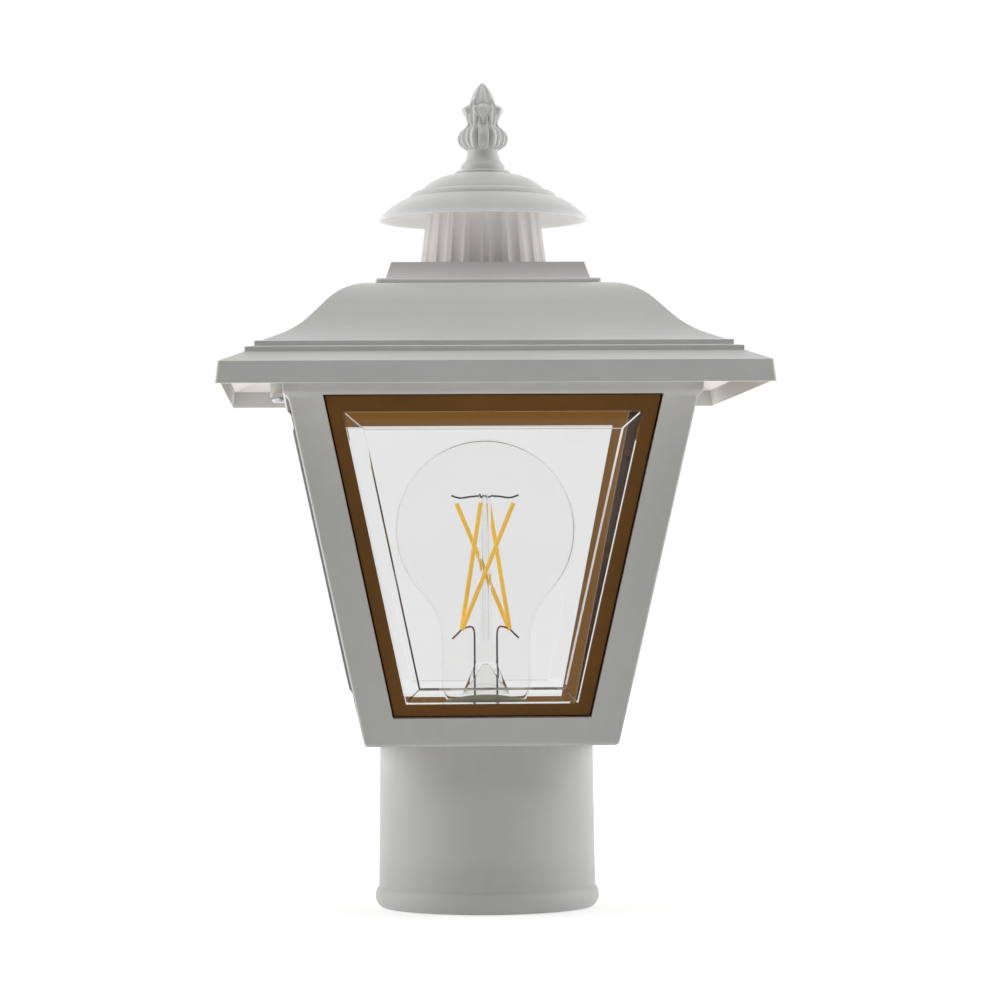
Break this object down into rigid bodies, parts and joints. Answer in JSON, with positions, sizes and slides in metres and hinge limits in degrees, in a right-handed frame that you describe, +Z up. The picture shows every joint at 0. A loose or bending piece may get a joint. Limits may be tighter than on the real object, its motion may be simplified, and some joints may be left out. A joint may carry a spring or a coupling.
{
  "type": "post top lantern",
  "caption": "Square tapered coach lantern for a post top, with raised clear panels, ogee roof, fluted chimney, round hood and leaf finial, and a screw lamp inside.",
  "frame": {"origin": "centre of the fitter's bottom rim, on the lantern's upright axis", "axes": "+Z up, front of the lantern towards -Y, +X to the right seen from the front"},
  "size_m": [0.2004, 0.2004, 0.315],
  "materials": {
    "cage_plastic": "white moulded plastic, satin to matte",
    "fitter_plastic": "white moulded plastic, satin to matte",
    "roof_plastic": "white moulded plastic, satin to matte",
    "chimney_plastic": "white moulded plastic, satin to matte",
    "hood_plastic": "white moulded plastic, satin to matte",
    "finial_plastic": "white moulded plastic, satin to matte",
    "clear_acrylic": "clear acrylic, polished",
    "bronze_trim": "dark bronze brown trim, satin",
    "zinc_steel": "zinc plated steel",
    "stainless_steel": "stainless steel",
    "green_screw": "green earth screw",
    "porcelain": "glazed porcelain lampholder",
    "lampholder_brass": "rolled brass",
    "lamp_glass": "clear lamp glass",
    "lamp_collar": "dark grey moulded collar",
    "nickel": "nickel plated screw base",
    "black_insulator": "black vitrified insulator",
    "solder": "soft solder",
    "lamp_wire": "copper clad lead wire",
    "filament_phosphor": "yellow phosphor on the filament rods"
  },
  "bodies": {
    "lantern": {"bracket_screws": "zinc_steel", "fitter_screws": "zinc_steel", "ground_screw": "green_screw", "lantern_cage": "cage_plastic", "lens_back": "clear_acrylic", "lens_front": "clear_acrylic", "lens_left": "clear_acrylic", "lens_right": "clear_acrylic", "lens_trim_back": "bronze_trim", "lens_trim_front": "bronze_trim", "lens_trim_left": "bronze_trim", "lens_trim_right": "bronze_trim", "post_fitter": "fitter_plastic", "roof_screws": "zinc_steel", "socket_body": "porcelain", "socket_bracket": "zinc_steel", "socket_contact": "lampholder_brass", "socket_screws": "zinc_steel", "socket_shell": "lampholder_brass"},
    "roof": {"roof_cover": "roof_plastic", "chimney": "chimney_plastic", "hood": "hood_plastic", "finial_rod": "zinc_steel", "rod_nut": "zinc_steel", "rod_washer": "zinc_steel"},
    "finial": {"finial": "finial_plastic"},
    "lamp": {"lamp_collar": "lamp_collar", "lamp_contact": "solder", "lamp_filaments": "filament_phosphor", "lamp_glass": "lamp_glass", "lamp_insulator": "black_insulator", "lamp_screw_base": "nickel", "lamp_stem": "lamp_glass", "lamp_wires": "lamp_wire"},
    "left_screw": {"clamp_screw_left": "stainless_steel"},
    "right_screw": {"clamp_screw_right": "stainless_steel"}
  },
  "joints": [
    {"name": "roof_lift", "type": "slide", "parent": "lantern", "child": "roof", "axis": [0, 0, 1], "range_m": [0, 0.1]},
    {"name": "finial_turn", "type": "hinge", "parent": "roof", "child": "finial", "pos_m": [0, 0, 0.29], "axis": [0, 0, 1], "continuous": true},
    {"name": "lamp_turn", "type": "hinge", "parent": "lantern", "child": "lamp", "pos_m": [0, 0, 0.1], "axis": [0, 0, 1], "continuous": true},
    {"name": "left_screw_in", "type": "slide", "parent": "lantern", "child": "left_screw", "axis": [0.7071, -0.7071, 0], "range_m": [-0.003, 0.0022]},
    {"name": "right_screw_in", "type": "slide", "parent": "lantern", "child": "right_screw", "axis": [-0.7071, -0.7071, 0], "range_m": [-0.003, 0.0022]}
  ]
}
